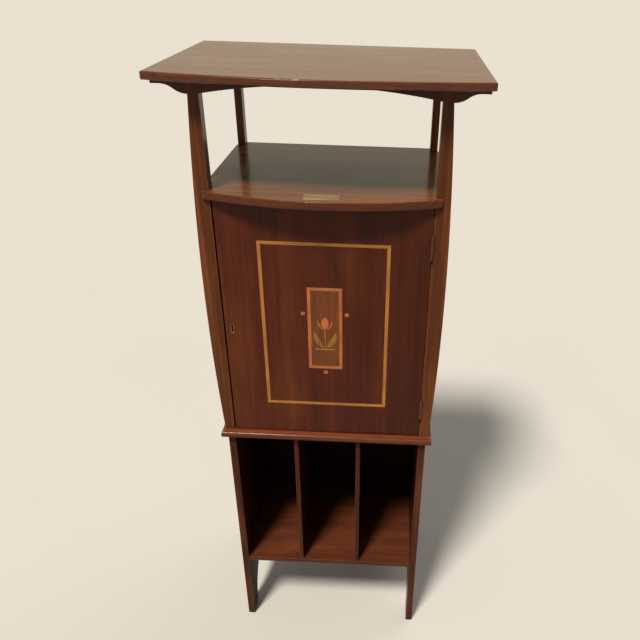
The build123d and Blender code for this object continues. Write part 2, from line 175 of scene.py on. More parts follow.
class CabinetStage(bpy.types.PropertyGroup):
    """Floor, lamps and camera"""

    floor: colour_property("Floor", "Plain pale floor", "#D8D2C6")
    wall: colour_property("Surroundings", "Pale surroundings above the floor", "#BDBBA6")
    key_strength: bpy.props.FloatProperty(
        name="Key strength",
        description="Strength of the main soft light, from the upper left",
        min=0,
        default=3.25,
    )
    key_height: bpy.props.FloatProperty(
        name="Key height",
        description="How high the main light stands",
        unit="ROTATION",
        default=math.radians(61),
    )
    key_side: bpy.props.FloatProperty(
        name="Key side",
        description="How far left of the front it stands",
        unit="ROTATION",
        default=math.radians(28),
    )
    key_softness: bpy.props.FloatProperty(
        name="Key softness",
        description="How wide the main light looks",
        unit="ROTATION",
        default=math.radians(11),
    )
    fill_strength: bpy.props.FloatProperty(
        name="Fill strength",
        description="Strength of the very soft light behind, on the right",
        min=0,
        default=0.5,
    )
    fill_height: bpy.props.FloatProperty(
        name="Fill height",
        description="How high that light stands",
        unit="ROTATION",
        default=math.radians(40),
    )
    fill_softness: bpy.props.FloatProperty(
        name="Fill softness",
        description="How wide that light looks",
        unit="ROTATION",
        default=math.radians(45),
    )
    ambient: bpy.props.FloatProperty(
        name="Ambient", description="Light from all round", min=0, max=2, default=0.22
    )
    camera_place: bpy.props.FloatVectorProperty(
        name="Camera",
        description="Where the camera stands",
        subtype="TRANSLATION",
        default=(0.11333, -1.10341, 1.37638),
    )
    camera_turn: bpy.props.FloatVectorProperty(
        name="Camera turn",
        description="Yaw, pitch and roll",
        unit="ROTATION",
        default=(-0.018775, -0.526120, 0.030009),
    )
    focal_pixels: bpy.props.FloatProperty(
        name="Focal length", description="In pixels of a frame 640 pixels wide", min=1, default=647.94
    )
    centre_pixel: bpy.props.FloatVectorProperty(
        name="Optical centre", description="Pixel that the camera points at", size=2, default=(379.14, 320.92)
    )


def add(tree, kind, values=None, links=None, **settings):
    """Adds a shader node with its own settings, its sockets' values and what is linked to them."""
    node = tree.nodes.new(kind)
    for name, value in settings.items():
        setattr(node, name, value)
    for socket, value in (values or {}).items():
        node.inputs[socket].default_value = value
    for socket, source in (links or {}).items():
        tree.links.new(source, node.inputs[socket])
    return node


def new_material(name):
    """An empty node material, its tree and its output."""
    material = bpy.data.materials.new(name)
    material.use_nodes = True
    tree = material.node_tree
    tree.nodes.clear()
    output = add(tree, "ShaderNodeOutputMaterial")
    return material, tree, output


def graded(colour, other, share):
    """A colour part of the way to another."""
    return [a + (b - a) * share for a, b in zip(colour, other)]


def grain_noise(tree, coords, grain, across, along, detail=2.0, shift=0.0, distortion=0.0):
    """Noise drawn out along the grain; across and along are its feature sizes in millimetres."""
    scale = [1000 / across] * 3
    scale["XYZ".index(grain)] = 1000 / along
    place = add(
        tree,
        "ShaderNodeMapping",
        {"Scale": scale, "Location": (shift, shift * 1.7, shift * 0.6)},
        {"Vector": coords},
    )
    values = {"Scale": 1.0, "Detail": detail, "Roughness": 0.5, "Distortion": distortion}
    return add(tree, "ShaderNodeTexNoise", values, {"Vector": place.outputs[0]}).outputs[0]


def polished_mahogany(
    name, colour, grain, gloss, wear, worn, shift=0.0, figure=0.5, sheen=0.1, coat=0.15, side=None, fade=0.0
):
    """French polished mahogany: ribbon figure, fine dark pores and a shellac film, rubbed at its arrises,
    where the lighter colour is also a painted highlight.
    """
    material, tree, output = new_material(name)
    coords = add(tree, "ShaderNodeTexCoord").outputs["Object"]
    deep = graded(colour, linear("#160604"), figure)
    gold = graded(colour, linear("#A8602A"), figure * 0.6)
    # ribbon figure: light and dark stripes about 24 mm wide, from interlocked grain
    ribbon = grain_noise(tree, coords, grain, 24, 620, 2.0, shift, 0.5)
    ribbon = add(
        tree, "ShaderNodeMapRange", {"From Min": 0.36, "From Max": 0.64}, {"Value": ribbon}
    ).outputs[0]
    body = add(
        tree,
        "ShaderNodeMix",
        {COLOUR_A: opaque(deep), COLOUR_B: opaque(colour)},
        {0: ribbon},
        data_type="RGBA",
    )
    # patches about 70 mm across, where the stain took less
    patch_noise = grain_noise(tree, coords, grain, 70, 260, 2.0, shift + 3.1)
    values = {"From Min": 0.5, "From Max": 0.72, "To Max": 0.9}
    patch = add(tree, "ShaderNodeMapRange", values, {"Value": patch_noise}).outputs[0]
    body = add(
        tree,
        "ShaderNodeMix",
        {COLOUR_B: opaque(gold)},
        {0: patch, COLOUR_A: body.outputs[COLOUR_OUT]},
        data_type="RGBA",
    )
    # growth lines 3 mm apart
    lines = grain_noise(tree, coords, grain, 3.2, 240, 3.0, shift + 7.7)
    values = {"From Min": 0.3, "From Max": 0.7, "To Min": 1 - 0.6 * figure, "To Max": 1 + 0.42 * figure}
    level = add(tree, "ShaderNodeMapRange", values, {"Value": lines}).outputs[0]
    body = add(tree, "ShaderNodeHueSaturation", {}, {"Value": level, "Color": body.outputs[COLOUR_OUT]})
    if fade:
        # painted light: the veneer is drawn lighter on the lock side and darker towards the hinges, as the
        # light falls from the left
        place = add(tree, "ShaderNodeSeparateXYZ", {}, {0: coords}).outputs["X"]
        values = {"From Min": -0.1, "From Max": 0.12, "To Min": 1 + fade, "To Max": 1 - fade}
        level = add(tree, "ShaderNodeMapRange", values, {"Value": place}).outputs[0]
        body = add(tree, "ShaderNodeHueSaturation", {}, {"Value": level, "Color": body.outputs["Color"]})
    if side is not None:
        # faces marked darker take the side colour: the edges and undersides of the top and shelf, drawn
        # darker than the upper face, and the inner faces of the sides and dividers, drawn near black as
        # painted shade
        toned = add(tree, "ShaderNodeAttribute", attribute_name="toned").outputs["Fac"]
        values = {"From Min": 0.3, "From Max": 0.7, "To Max": 0.8}
        share = add(tree, "ShaderNodeMapRange", values, {"Value": lines}).outputs[0]
        tone = add(
            tree,
            "ShaderNodeMix",
            {COLOUR_A: opaque(side), COLOUR_B: opaque(deep)},
            {0: share},
            data_type="RGBA",
        )
        body = add(
            tree,
            "ShaderNodeMix",
            {},
            {0: toned, COLOUR_A: body.outputs["Color"], COLOUR_B: tone.outputs[COLOUR_OUT]},
            data_type="RGBA",
        )
        pore_base = body.outputs[COLOUR_OUT]
    else:
        pore_base = body.outputs["Color"]
    # open pores, really 0.2 mm wide, drawn 0.9 mm wide so that they show
    pores = grain_noise(tree, coords, grain, 0.9, 16, 1.0, shift + 1.3)
    values = {"From Min": 0.58, "From Max": 0.72, "To Max": 0.6}
    pores = add(tree, "ShaderNodeMapRange", values, {"Value": pores}).outputs[0]
    body = add(
        tree,
        "ShaderNodeMix",
        {COLOUR_B: opaque(graded(deep, BLACK, 0.5))},
        {0: pores, COLOUR_A: pore_base},
        data_type="RGBA",
    )
    # the rounded arrises are rubbed through in places 30 mm long; the lighter colour there is real wear and
    # also a painted highlight along the arrises
    arris = add(tree, "ShaderNodeAttribute", attribute_name="arris").outputs["Fac"]
    rub = add(tree, "ShaderNodeTexNoise", {"Scale": 34.0, "Detail": 3.0}, {"Vector": coords}).outputs[0]
    values = {"From Min": 0.36, "From Max": 0.66, "To Min": 0.15 * wear, "To Max": wear}
    rub = add(tree, "ShaderNodeMapRange", values, {"Value": rub}).outputs[0]
    rubbed = add(tree, "ShaderNodeMath", {}, {0: arris, 1: rub}, operation="MULTIPLY").outputs[0]
    body = add(
        tree,
        "ShaderNodeMix",
        {COLOUR_B: opaque(worn)},
        {0: rubbed, COLOUR_A: body.outputs[COLOUR_OUT]},
        data_type="RGBA",
    )
    # the film sinks a little into the pores and is never quite flat
    pits = add(tree, "ShaderNodeMath", {1: -0.6}, {0: pores}, operation="MULTIPLY").outputs[0]
    pits = add(tree, "ShaderNodeMath", {}, {0: pits, 1: lines}, operation="ADD").outputs[0]
    fine = add(tree, "ShaderNodeBump", {"Strength": 0.3, "Distance": 0.0001}, {"Height": pits})
    swell = add(tree, "ShaderNodeTexNoise", {"Scale": 14.0, "Detail": 1.0}, {"Vector": coords}).outputs[0]
    wave = add(tree, "ShaderNodeBump", {"Strength": 0.25, "Distance": 0.0006}, {"Height": swell})
    tree.links.new(wave.outputs[0], fine.inputs["Normal"])
    values = {"From Min": 0.3, "From Max": 0.7, "To Min": gloss, "To Max": gloss + 0.14}
    rough = add(tree, "ShaderNodeMapRange", values, {"Value": patch_noise}).outputs[0]
    shader = add(
        tree,
        "ShaderNodeBsdfPrincipled",
        {"Specular IOR Level": sheen, "Coat Weight": coat, "Coat Roughness": 0.09, "Coat IOR": 1.35},
        {
            "Base Color": body.outputs[COLOUR_OUT],
            "Roughness": rough,
            "Normal": fine.outputs[0],
            "Coat Normal": wave.outputs[0],
        },
    )
    tree.links.new(shader.outputs[0], output.inputs["Surface"])
    return material


def stained_board(name, colour, grain):
    """Stained and sealed softwood inside the case: dull, with wide growth rings and dust in the grain."""
    material, tree, output = new_material(name)
    coords = add(tree, "ShaderNodeTexCoord").outputs["Object"]
    rings = grain_noise(tree, coords, grain, 9, 420, 3.0, 5.0, 0.8)
    rings = add(tree, "ShaderNodeMapRange", {"From Min": 0.35, "From Max": 0.65}, {"Value": rings}).outputs[0]
    dark = graded(colour, BLACK, 0.45)
    light = graded(colour, linear("#6B4028"), 0.3)
    body = add(
        tree, "ShaderNodeMix", {COLOUR_A: opaque(dark), COLOUR_B: opaque(light)}, {0: rings}, data_type="RGBA"
    )
    fibre = grain_noise(tree, coords, grain, 1.2, 30, 2.0, 2.0)
    bump = add(tree, "ShaderNodeBump", {"Strength": 0.5, "Distance": 0.0002}, {"Height": fibre})
    values = {"From Min": 0.3, "From Max": 0.7, "To Min": 0.5, "To Max": 0.7}
    rough = add(tree, "ShaderNodeMapRange", values, {"Value": fibre}).outputs[0]
    shader = add(
        tree,
        "ShaderNodeBsdfPrincipled",
        {"Specular IOR Level": 0.15},
        {"Base Color": body.outputs[COLOUR_OUT], "Roughness": rough, "Normal": bump.outputs[0]},
    )
    tree.links.new(shader.outputs[0], output.inputs["Surface"])
    return material


def inlaid_veneer(name, colour, grain, contrast=0.3):
    """Sawn veneer let in flush under the shellac: straight fine grain and little figure."""
    material, tree, output = new_material(name)
    coords = add(tree, "ShaderNodeTexCoord").outputs["Object"]
    lines = grain_noise(tree, coords, grain, 1.6, 60, 2.0, 1.0)
    lines = add(tree, "ShaderNodeMapRange", {"From Min": 0.3, "From Max": 0.7}, {"Value": lines}).outputs[0]
    dark = graded(colour, linear("#2A1206"), contrast)
    light = graded(colour, linear("#D88A48"), contrast * 0.6)
    body = add(
        tree, "ShaderNodeMix", {COLOUR_A: opaque(dark), COLOUR_B: opaque(light)}, {0: lines}, data_type="RGBA"
    )
    cloud = grain_noise(tree, coords, grain, 18, 60, 2.0, 4.0)
    values = {"From Min": 0.3, "From Max": 0.7, "To Min": 0.85, "To Max": 1.15}
    level = add(tree, "ShaderNodeMapRange", values, {"Value": cloud}).outputs[0]
    body = add(tree, "ShaderNodeHueSaturation", {}, {"Value": level, "Color": body.outputs[COLOUR_OUT]})
    bump = add(tree, "ShaderNodeBump", {"Strength": 0.2, "Distance": 0.0001}, {"Height": lines})
    values = {"From Min": 0.3, "From Max": 0.7, "To Min": 0.22, "To Max": 0.34}
    rough = add(tree, "ShaderNodeMapRange", values, {"Value": cloud}).outputs[0]
    shader = add(
        tree,
        "ShaderNodeBsdfPrincipled",
        {"Specular IOR Level": 0.2, "Coat Weight": 0.3, "Coat Roughness": 0.09, "Coat IOR": 1.35},
        {"Base Color": body.outputs["Color"], "Roughness": rough, "Normal": bump.outputs[0]},
    )
    tree.links.new(shader.outputs[0], output.inputs["Surface"])
    return material


def mitred_strip(name, colour, node, width):
    """Satinwood strip in four mitred lengths, with a dark line of glue along both sides."""
    material, tree, output = new_material(name)
    low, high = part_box(node)
    middle = (low + high) / 2
    coords = add(tree, "ShaderNodeTexCoord").outputs["Object"]
    centred = add(tree, "ShaderNodeVectorMath", {1: -middle}, {0: coords}, operation="ADD").outputs[0]
    folded = add(tree, "ShaderNodeVectorMath", {}, {0: centred}, operation="ABSOLUTE").outputs[0]
    reach = (high - low) / 2 - Vector((width, 0, width)) / 2
    place = add(tree, "ShaderNodeVectorMath", {1: -reach}, {0: folded}, operation="ADD").outputs[0]
    parts = add(tree, "ShaderNodeSeparateXYZ", {}, {0: place})
    across_x, across_z = parts.outputs["X"], parts.outputs["Z"]
    upright = add(tree, "ShaderNodeMath", {}, {0: across_x, 1: across_z}, operation="GREATER_THAN").outputs[0]
    across = add(tree, "ShaderNodeMath", {}, {0: across_x, 1: across_z}, operation="MAXIMUM").outputs[0]
    edge = add(tree, "ShaderNodeMath", {}, {0: across}, operation="ABSOLUTE").outputs[0]
    values = {"From Min": width * 0.4, "From Max": width * 0.5, "To Max": 0.5}
    edge = add(tree, "ShaderNodeMapRange", values, {"Value": edge}).outputs[0]
    level_grain = grain_noise(tree, coords, "X", 1.3, 70, 2.0, 2.0)
    upright_grain = grain_noise(tree, coords, "Z", 1.3, 70, 2.0, 6.0)
    lines = add(
        tree,
        "ShaderNodeMix",
        {},
        {0: upright, NUMBER_A: level_grain, NUMBER_B: upright_grain},
        data_type="FLOAT",
    )
    values = {"From Min": 0.3, "From Max": 0.7}
    lines = add(tree, "ShaderNodeMapRange", values, {"Value": lines.outputs[0]}).outputs[0]
    dark = graded(colour, linear("#4A2008"), 0.35)
    light = graded(colour, linear("#E0A860"), 0.18)
    body = add(
        tree, "ShaderNodeMix", {COLOUR_A: opaque(dark), COLOUR_B: opaque(light)}, {0: lines}, data_type="RGBA"
    )
    cloud = add(tree, "ShaderNodeTexNoise", {"Scale": 26.0, "Detail": 2.0}, {"Vector": coords}).outputs[0]
    values = {"From Min": 0.3, "From Max": 0.7, "To Min": 0.82, "To Max": 1.15}
    level = add(tree, "ShaderNodeMapRange", values, {"Value": cloud}).outputs[0]
    body = add(tree, "ShaderNodeHueSaturation", {}, {"Value": level, "Color": body.outputs[COLOUR_OUT]})
    body = add(
        tree,
        "ShaderNodeMix",
        {COLOUR_B: opaque(linear("#2A0E06"))},
        {0: edge, COLOUR_A: body.outputs["Color"]},
        data_type="RGBA",
    )
    bump = add(tree, "ShaderNodeBump", {"Strength": 0.2, "Distance": 0.0001}, {"Height": lines})
    values = {"From Min": 0.3, "From Max": 0.7, "To Min": 0.22, "To Max": 0.34}
    rough = add(tree, "ShaderNodeMapRange", values, {"Value": cloud}).outputs[0]
    shader = add(
        tree,
        "ShaderNodeBsdfPrincipled",
        {"Specular IOR Level": 0.2, "Coat Weight": 0.3, "Coat Roughness": 0.09, "Coat IOR": 1.35},
        {"Base Color": body.outputs[COLOUR_OUT], "Roughness": rough, "Normal": bump.outputs[0]},
    )
    tree.links.new(shader.outputs[0], output.inputs["Surface"])
    return material


def aged_metal(name, colour, film, brush, rough, patchy=0.75):
    """Sheet or turned metal with fine draw lines and a patchy film where it isn't rubbed."""
    material, tree, output = new_material(name)
    coords = add(tree, "ShaderNodeTexCoord").outputs["Object"]
    scratch = grain_noise(tree, coords, brush, 0.35, 12, 2.0, 1.0)
    cloud = add(tree, "ShaderNodeTexNoise", {"Scale": 160.0, "Detail": 4.0}, {"Vector": coords}).outputs[0]
    values = {"From Min": 0.3, "From Max": 0.76, "To Max": patchy}
    share = add(tree, "ShaderNodeMapRange", values, {"Value": cloud}).outputs[0]
    body = add(
        tree,
        "ShaderNodeMix",
        {COLOUR_A: opaque(colour), COLOUR_B: opaque(film)},
        {0: share},
        data_type="RGBA",
    )
    values = {"From Min": 0.35, "From Max": 0.7, "To Min": rough, "To Max": rough + 0.3 * patchy}
    roughness = add(tree, "ShaderNodeMapRange", values, {"Value": cloud}).outputs[0]
    bump = add(tree, "ShaderNodeBump", {"Strength": 0.25, "Distance": 0.00005}, {"Height": scratch})
    shader = add(
        tree,
        "ShaderNodeBsdfPrincipled",
        {"Metallic": 1.0},
        {"Base Color": body.outputs[COLOUR_OUT], "Roughness": roughness, "Normal": bump.outputs[0]},
    )
    tree.links.new(shader.outputs[0], output.inputs["Surface"])
    return material


def named_material(name, maker, *values, **settings):
    """The material of that name, made the first time that it is asked for."""
    return bpy.data.materials.get(name) or maker(name, *values, **settings)


def mahogany(context, part, grain, **settings):
    """Polished mahogany in one of the cabinet's tones, with its grain along X, Y or Z."""
    finish = context.scene.cabinet_finish
    colour = list(getattr(finish, part))
    name = f"french_polished_mahogany_{part}_{grain.lower()}"
    return named_material(
        name, polished_mahogany, colour, grain, finish.gloss, finish.wear, list(finish.worn), **settings
    )


def brass(context):
    """Aged and handled brass: yellow where it is rubbed, brown elsewhere."""
    finish = context.scene.cabinet_finish
    return named_material("aged_brass", aged_metal, list(finish.brass), list(finish.tarnish), "Z", 0.36)


def browned_brass(context):
    """Brass that nobody rubs: dull and brown all over, so the knuckles hardly stand out from the wood."""
    finish = context.scene.cabinet_finish
    return named_material("browned_brass", aged_metal, list(finish.browned), list(finish.tarnish), "Z", 0.42)


def steel(context):
    """Drawn steel, dulled by age."""
    finish = context.scene.cabinet_finish
    return named_material("drawn_steel", aged_metal, list(finish.steel), linear("#4A4038"), "Z", 0.35)


def select_only(thing):
    """Makes one object active and the only one selected."""
    bpy.ops.object.select_all(action="DESELECT")
    thing.select_set(True)
    bpy.context.view_layer.objects.active = thing


def paint(thing, material):
    """Gives a piece one material on all its faces."""
    if not thing.material_slots:
        thing.data.materials.append(material)
    for slot in thing.material_slots:
        slot.material = material


def solid_tree(node):
    """A search tree of one CAD node's faces."""
    mesh = NODES[node].data
    return BVHTree.FromPolygons([v.co for v in mesh.vertices], [list(p.vertices) for p in mesh.polygons])


NEIGHBOURS = {node: (solid_tree(node), *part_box(node)) for node in NODES}


def touches_another(node, points):
    """Whether most of these points lie on another node, as along a glued joint."""
    count = 0
    for point in points:
        for other, (tree, low, high) in NEIGHBOURS.items():
            outside = any(not low[i] - BOX_SLACK <= point[i] <= high[i] + BOX_SLACK for i in range(3))
            if other == node or outside:
                continue
            if tree.find_nearest(point, GLUED)[0] is not None:
                count += 1
                break
    return count * 2 > len(points)


def below_upper_face(face):
    """All but the faces that look up."""
    return face.normal.z < 0.8


def towards_middle(face):
    """The faces that look in at the cabinet's middle from its sides."""
    return face.normal.x * face.center.x < -0.9 * abs(face.center.x)


def either_side(face):
    """The faces that look left or right."""
    return abs(face.normal.x) > 0.9


def softened(node, radius, material, toned=None):
    """A dressed copy of a node with its free outer edges rounded, which stands for it."""
    piece = bpy.data.objects.new(node + "_dressed", NODES[node].data.copy())
    bpy.context.scene.collection.objects.link(piece)
    select_only(piece)
    mesh = piece.data
    bpy.ops.mesh.customdata_custom_splitnormals_clear()
    bpy.ops.object.mode_set(mode="EDIT")
    bpy.ops.mesh.select_mode(type="EDGE")
    bpy.ops.mesh.select_all(action="SELECT")
    bpy.ops.mesh.remove_doubles(threshold=WELD)
    bpy.ops.mesh.dissolve_limited(angle_limit=FLAT_ANGLE)
    bpy.ops.mesh.select_all(action="DESELECT")
    shape = bmesh.from_edit_mesh(mesh)
    for edge in shape.edges:
        if len(edge.link_faces) != 2 or edge.calc_face_angle_signed(0) < ARRIS_ANGLE:
            continue
        start, end = edge.verts[0].co, edge.verts[1].co
        points = [start.lerp(end, t) for t in (0.1, 0.3, 0.5, 0.7, 0.9)]
        edge.select = not touches_another(node, points)
    bmesh.update_edit_mesh(mesh)
    bpy.ops.mesh.bevel(offset=radius, segments=2, affect="EDGES", clamp_overlap=True)
    bpy.ops.mesh.select_mode(type="FACE")
    bpy.ops.object.mode_set(mode="OBJECT")
    arris = mesh.attributes.new("arris", "FLOAT", "FACE")
    arris.data.foreach_set("value", [1.0 if face.select else 0.0 for face in mesh.polygons])
    second = mesh.attributes.new("toned", "FLOAT", "FACE")
    second.data.foreach_set("value", [1.0 if toned and toned(face) else 0.0 for face in mesh.polygons])
    bpy.ops.object.shade_smooth_by_angle(angle=SMOOTH_ANGLE)
    bpy.ops.object.modifier_add(type="WEIGHTED_NORMAL")
    piece.modifiers[-1].keep_sharp = True
    bpy.ops.object.modifier_apply(modifier=piece.modifiers[-1].name)
    paint(piece, material)
    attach(piece, BODY_OF[node])
    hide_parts(node)
    return piece


def unpolished_below(context, piece):
    """Leaves the faces that look down without polish, so that they don't mirror the floor, and draws them in
    the rails' darkened colour as painted shade beneath the board.
    """
    finish = context.scene.cabinet_finish
    dull = named_material(
        "unpolished_mahogany",
        polished_mahogany,
        list(finish.rail),
        "X",
        0.55,
        0.0,
        list(finish.worn),
        sheen=0.05,
        coat=0.0,
    )
    piece.data.materials.append(dull)
    for face in piece.data.polygons:
        if face.normal.z < -0.9:
            face.material_index = len(piece.data.materials) - 1


def turned_head(radius, height, foot, sides, rounding, segments):
    """A disc that stands at a height, with its upper rim rounded. It is left in edit mode."""
    bpy.ops.object.select_all(action="DESELECT")
    middle = (0, 0, foot + height / 2)
    bpy.ops.mesh.primitive_cylinder_add(vertices=sides, radius=radius, depth=height, location=middle)
    head = bpy.context.object
    bpy.ops.object.transform_apply(location=True, rotation=True, scale=True)
    bpy.ops.object.mode_set(mode="EDIT")
    bpy.ops.mesh.select_mode(type="EDGE")
    bpy.ops.mesh.select_all(action="DESELECT")
    shape = bmesh.from_edit_mesh(head.data)
    for edge in shape.edges:
        edge.select = all(v.co.z > foot + height - RIM_SLACK for v in edge.verts)
    bmesh.update_edit_mesh(head.data)
    bpy.ops.mesh.bevel(offset=rounding, segments=segments, affect="EDGES")
    return head


def slotted_screw(radius, depth):
    """A screw head, face up at the origin: a disc with a rounded rim and a sawn slot."""
    half_slot = radius * 0.13
    screw = turned_head(radius, depth, -depth, 28, radius * 0.12, 2)
    for side in (-1, 1):
        bpy.ops.mesh.select_all(action="SELECT")
        bpy.ops.mesh.bisect(plane_co=(side * half_slot, 0, 0), plane_no=(1, 0, 0))
    bpy.ops.mesh.select_mode(type="FACE")
    bpy.ops.mesh.select_all(action="DESELECT")
    shape = bmesh.from_edit_mesh(screw.data)
    for face in shape.faces:
        face.select = face.normal.z > 0.2 and abs(face.calc_center_median().x) < radius * 0.12
    bmesh.update_edit_mesh(screw.data)
    bpy.ops.mesh.extrude_region_move(TRANSFORM_OT_translate={"value": (0, 0, -depth * 0.55)})
    bpy.ops.object.mode_set(mode="OBJECT")
    bpy.ops.object.shade_smooth_by_angle(angle=SCREW_SMOOTH_ANGLE)
    return screw


def domed_pin(radius, height):
    """A small round pin head, standing on the origin."""
    pin = turned_head(radius, height, 0, 24, height * 0.85, 4)
    bpy.ops.object.mode_set(mode="OBJECT")
    bpy.ops.object.shade_smooth_by_angle(angle=PIN_SMOOTH_ANGLE)
    return pin


def fixings(name, pattern, places, facing, body, material):
    """Copies of one fixing at these places, all facing one way and joined; each slot points its own way."""
    turn_to = Vector((0, 0, 1)).rotation_difference(Vector(facing)).to_matrix().to_4x4()
    copies = []
    for number, place in enumerate(places):
        copy = pattern.copy()
        copy.data = pattern.data.copy()
        slot_turn = Matrix.Rotation(FIRST_SLOT_TURN + SLOT_STEP * number, 4, "Z")
        copy.data.transform(Matrix.Translation(place) @ turn_to @ slot_turn)
        bpy.context.scene.collection.objects.link(copy)
        copies.append(copy)
    select_only(copies[0])
    for copy in copies:
        copy.select_set(True)
    bpy.ops.object.join()
    group = bpy.context.object
    group.name = name
    paint(group, material)
    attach(group, body)
    return group


def shows_to_eye(tree, path):
    """1 for rays that show a thing to the eye, straight, mirrored or through another; 0 for bounced light."""
    straight, mirrored = path.outputs["Is Camera Ray"], path.outputs["Is Glossy Ray"]
    seen = add(tree, "ShaderNodeMath", {}, {0: straight, 1: mirrored}, operation="MAXIMUM").outputs[0]
    through = path.outputs["Is Transmission Ray"]
    return add(tree, "ShaderNodeMath", {}, {0: seen, 1: through}, operation="MAXIMUM").outputs[0]


class CABINET_OT_top(bpy.types.Operator):
    """Polish the top board and the rails, corbels and bearer beneath it"""

    bl_idname = "cabinet.top"
    bl_label = "Top, rails and corbels"

    def execute(self, context):
        sizes = context.scene.cabinet_sizes
        edge = list(context.scene.cabinet_finish.edge)
        # the upper faces take the top colour and all other faces the darker edge colour
        lighter_on_top = mahogany(context, "top", "X", shift=2.0, figure=0.25, sheen=0.12, coat=0.56, side=edge)
        unpolished_below(context, softened("top_board", sizes.arris, lighter_on_top, toned=below_upper_face))
        # painted shade: the rails, bearer and corbels take a darkened colour for the shade under the top
        # board
        along = mahogany(context, "rail", "X", shift=1.0)
        across = mahogany(context, "rail", "Y", shift=1.0)
        for node in ("front_top_rail", "back_top_bearer", "front_corbel_left", "front_corbel_right"):
            softened(node, sizes.arris, along)
        for node in ("top_side_rail_left", "top_side_rail_right"):
            softened(node, sizes.arris, across)
        return {"FINISHED"}


class CABINET_OT_posts(bpy.types.Operator):
    """Polish the swelled front posts and the plain back posts"""

    bl_idname = "cabinet.posts"
    bl_label = "Posts"

    def execute(self, context):
        upright = mahogany(context, "post", "Z", shift=4.0, coat=0.08)
        for node in ("front_post_left", "front_post_right", "back_post_left", "back_post_right"):
            softened(node, context.scene.cabinet_sizes.arris, upright)
        return {"FINISHED"}


class CABINET_OT_shelf(bpy.types.Operator):
    """Polish the display shelf, and pin the bare brass plaque to it"""

    bl_idname = "cabinet.shelf"
    bl_label = "Display shelf and plaque"

    def execute(self, context):
        sizes = context.scene.cabinet_sizes
        edge = list(context.scene.cabinet_finish.edge)
        # the upper faces take the shelf colour and all other faces the darker edge colour
        lighter_on_top = mahogany(context, "shelf", "X", shift=3.0, figure=0.3, sheen=0.1, coat=0.5, side=edge)
        unpolished_below(context, softened("display_shelf", sizes.arris, lighter_on_top, toned=below_upper_face))
        finish = context.scene.cabinet_finish
        bright = named_material(
            "lacquered_brass", aged_metal, list(finish.lacquered), list(finish.brass), "X", 0.32, 0.25
        )
        softened("plaque", sizes.metal_arris, bright)
        low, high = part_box("plaque")
        inset = (high.y - low.y) / 6
        middle = (low.y + high.y) / 2
        places = [Vector((x, middle, high.z)) for x in (low.x + inset, high.x - inset)]
        pin = domed_pin(sizes.plaque_pin, sizes.plaque_pin * 0.5)
        fixings("plaque_pins", pin, places, (0, 0, 1), "carcass", brass(context))
        bpy.data.objects.remove(pin)
        return {"FINISHED"}


class CABINET_OT_cupboard(bpy.types.Operator):
    """Polish the cupboard's sides, and stain its back, shelves and stops"""

    bl_idname = "cabinet.cupboard"
    bl_label = "Cupboard"

    def execute(self, context):
        sizes = context.scene.cabinet_sizes
        # the near-black lining colour is painted shade; the inner faces of the sides take it, as do the
        # shelves, stops and back
        lining_and_shade = list(context.scene.cabinet_finish.lining_and_shade)
        upright = mahogany(context, "rack", "Z", shift=6.0, sheen=0.06, coat=0.08, side=lining_and_shade)
        for node in ("cupboard_side_left", "cupboard_side_right"):
            softened(node, sizes.arris, upright, toned=towards_middle)
        level = named_material("stained_board_x", stained_board, lining_and_shade, "X")
        for node in ("music_shelf_1", "music_shelf_2", "music_shelf_3", "door_stop_lower", "door_stop_upper"):
            softened(node, sizes.thin_arris, level)
        softened(
            "cupboard_back", sizes.thin_arris, named_material("stained_board_z", stained_board, lining_and_shade, "Z")
        )
        return {"FINISHED"}


class CABINET_OT_door(bpy.types.Operator):
    """Polish the door and its inlaid strips, squares and plain plant motif"""

    bl_idname = "cabinet.door"
    bl_label = "Door and inlay"

    def execute(self, context):
        finish = context.scene.cabinet_finish
        sizes = context.scene.cabinet_sizes
        # painted light: the door is drawn lighter on its lock side and darker towards the hinges
        softened(
            "door_panel", sizes.thin_arris, mahogany(context, "door", "Z", shift=9.0, figure=0.32, fade=0.13)
        )
        border = named_material(
            "satinwood_strip", mitred_strip, list(finish.satinwood), "inlay_border", sizes.border_strip
        )
        centre = named_material(
            "orange_strip", mitred_strip, list(finish.orange), "inlay_frame", sizes.centre_strip
        )
        orange = named_material("orange_veneer", inlaid_veneer, list(finish.orange), "Z")
        field = named_material("brown_veneer", inlaid_veneer, list(finish.field), "Z", contrast=0.22)
        stained = named_material("stained_veneer", inlaid_veneer, list(finish.stained), "Z")
        satin = named_material("satinwood_veneer", inlaid_veneer, list(finish.satinwood), "X")
        woods = {"inlay_border": border, "inlay_frame": centre, "inlay_field": field, "inlay_bar": satin}
        for node in NODES:
            if node.startswith("inlay_") and node not in woods:
                woods[node] = stained if SLOT_OF[node] == "stained_inlay" else orange
        for node, wood in woods.items():
            paint(NODES[node], wood)
        return {"FINISHED"}


class CABINET_OT_hinges(bpy.types.Operator):
    """Finish the brass hinges, and screw down their leaves"""

    bl_idname = "cabinet.hinges"
    bl_label = "Hinges"

    def execute(self, context):
        metal = browned_brass(context)
        radius = context.scene.cabinet_sizes.hinge_screw
        rise = context.scene.cabinet_sizes.head_rise
        screw = slotted_screw(radius, radius * 0.5)
        for level in ("lower", "upper"):
            paint(NODES[f"hinge_{level}_pin"], steel(context))
            for leaf, facing, body in (("frame", -1, "carcass"), ("door", 1, "door")):
                node = f"hinge_{level}_{leaf}_leaf"
                paint(NODES[node], metal)
                low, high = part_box(node)
                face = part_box("front_post_right")[0].x if leaf == "frame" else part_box("door_panel")[1].x
                rows = [low.z + (high.z - low.z) * share for share in (0.15, 0.5, 0.85)]
                # the middle screw stands further in, as on a drilled butt hinge
                outer, inner = high.y - 5 * MM, high.y - 9 * MM
                columns = [outer, inner, outer]
                places = [Vector((face + facing * rise, y, z)) for y, z in zip(columns, rows)]
                fixings(f"hinge_{level}_{leaf}_screws", screw, places, (facing, 0, 0), body, metal)
        bpy.data.objects.remove(screw)
        return {"FINISHED"}


